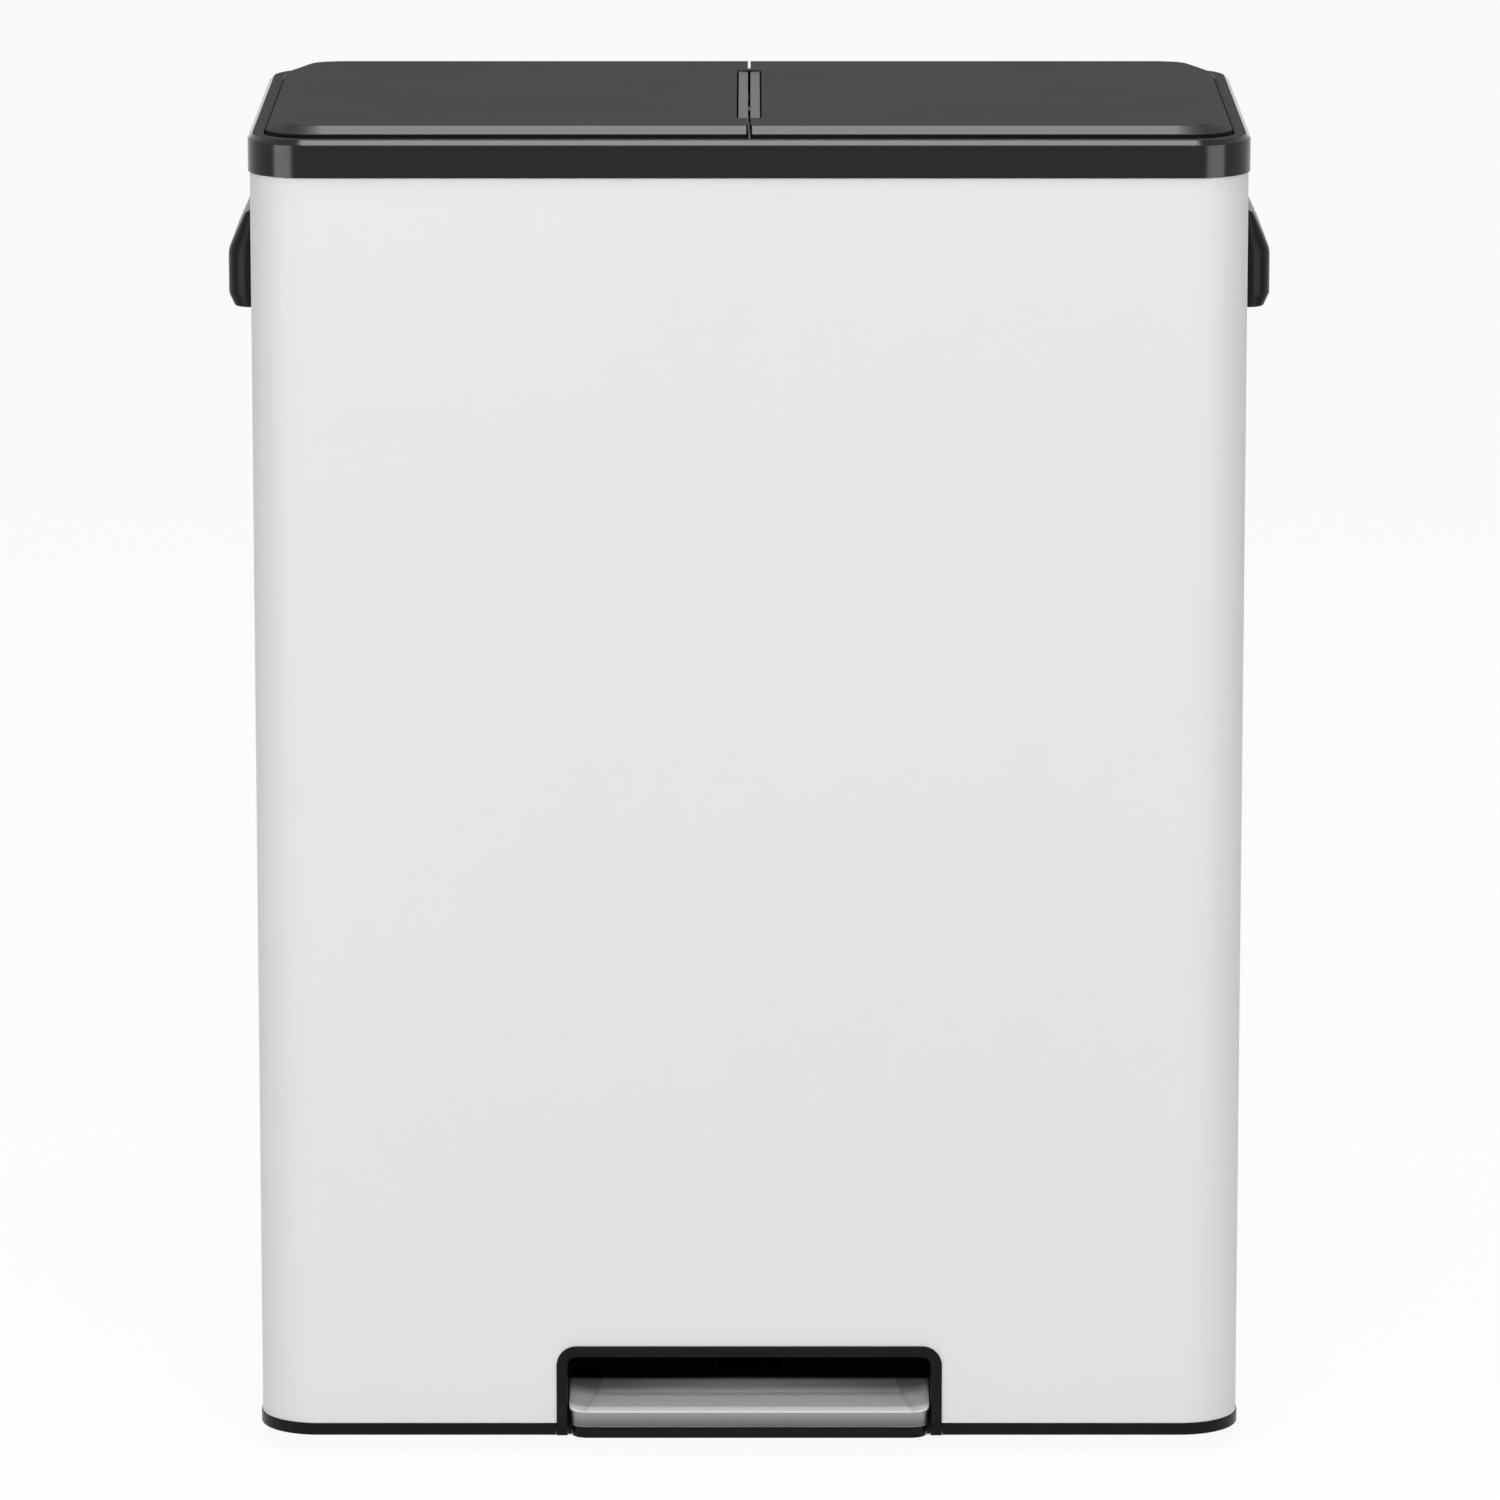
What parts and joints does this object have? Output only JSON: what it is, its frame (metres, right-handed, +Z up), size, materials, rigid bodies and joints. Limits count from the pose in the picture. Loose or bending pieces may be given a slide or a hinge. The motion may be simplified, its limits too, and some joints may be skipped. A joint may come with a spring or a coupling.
{
  "type": "double recycling bin",
  "caption": "Upright steel pedal bin with two buckets side by side; pressing the wide front pedal raises both flat lids on their rear hinges.",
  "frame": {"origin": "middle of the footprint, on the floor that the rubber feet stand on", "axes": "+Z up, +X to the right and +Y to the back, seen from the pedal side"},
  "size_m": [0.5172, 0.28, 0.665],
  "materials": {
    "white_paint": "smooth white powder coat",
    "black_plastic": "satin moulded black plastic",
    "lid_black": "fine matt black, slightly greyer than the rim",
    "brushed_steel": "brushed along its width",
    "plated_steel": "bright zinc plating",
    "grey_plastic": "fine matt grey plastic",
    "nylon": "natural nylon",
    "rubber": "soft black rubber"
  },
  "bodies": {
    "casing": {"body_shell": "white_paint", "base_tray": "black_plastic", "rubber_feet": "rubber", "pedal_surround": "black_plastic", "top_rim": "black_plastic", "lid_bumpers": "rubber", "bucket_right": "grey_plastic", "bucket_left": "grey_plastic", "side_handle_right": "black_plastic", "side_handle_left": "black_plastic", "handle_screws": "plated_steel", "surround_screws": "plated_steel", "hinge_pin_right": "plated_steel", "hinge_pin_left": "plated_steel", "pedal_axle": "plated_steel", "rod_guide_brackets": "plated_steel", "rod_guide_bushes": "nylon"},
    "pedal": {"pedal_tread": "brushed_steel", "pedal_body": "black_plastic", "pedal_lever": "plated_steel", "pedal_screws": "plated_steel"},
    "rod_left": {"push_rod_left": "plated_steel", "rod_pad_left": "nylon", "rod_cap_left": "nylon"},
    "rod_right": {"push_rod_right": "plated_steel", "rod_pad_right": "nylon", "rod_cap_right": "nylon"},
    "lid_left": {"lid_cover_left": "lid_black", "lid_liner_left": "black_plastic"},
    "lid_right": {"lid_cover_right": "lid_black", "lid_liner_right": "black_plastic"}
  },
  "joints": [
    {"name": "lid_left_open", "type": "hinge", "parent": "casing", "child": "lid_left", "pos_m": [0, 0.125, 0.659], "axis": [-1, 0, 0], "range_deg": [0, 70]},
    {"name": "lid_right_open", "type": "hinge", "parent": "casing", "child": "lid_right", "pos_m": [0, 0.125, 0.659], "axis": [-1, 0, 0], "range_deg": [0, 70]},
    {"name": "pedal_press", "type": "hinge", "parent": "casing", "child": "pedal", "pos_m": [0, -0.08, 0.022], "axis": [1, 0, 0], "range_deg": [0, 7.5]},
    {"name": "rod_left_lift", "type": "slide", "parent": "casing", "child": "rod_left", "axis": [0, 0, 1], "range_m": [0, 0.02428]},
    {"name": "rod_right_lift", "type": "slide", "parent": "casing", "child": "rod_right", "axis": [0, 0, 1], "range_m": [0, 0.02428]}
  ],
  "couplings": [
    {"joint": "lid_right_open", "follows": "lid_left_open", "ratio": 1},
    {"joint": "pedal_press", "follows": "lid_left_open", "ratio": 0.10714},
    {"joint": "rod_left_lift", "follows": "lid_left_open", "m_per_rad": 0.019871},
    {"joint": "rod_right_lift", "follows": "lid_left_open", "m_per_rad": 0.019871}
  ]
}
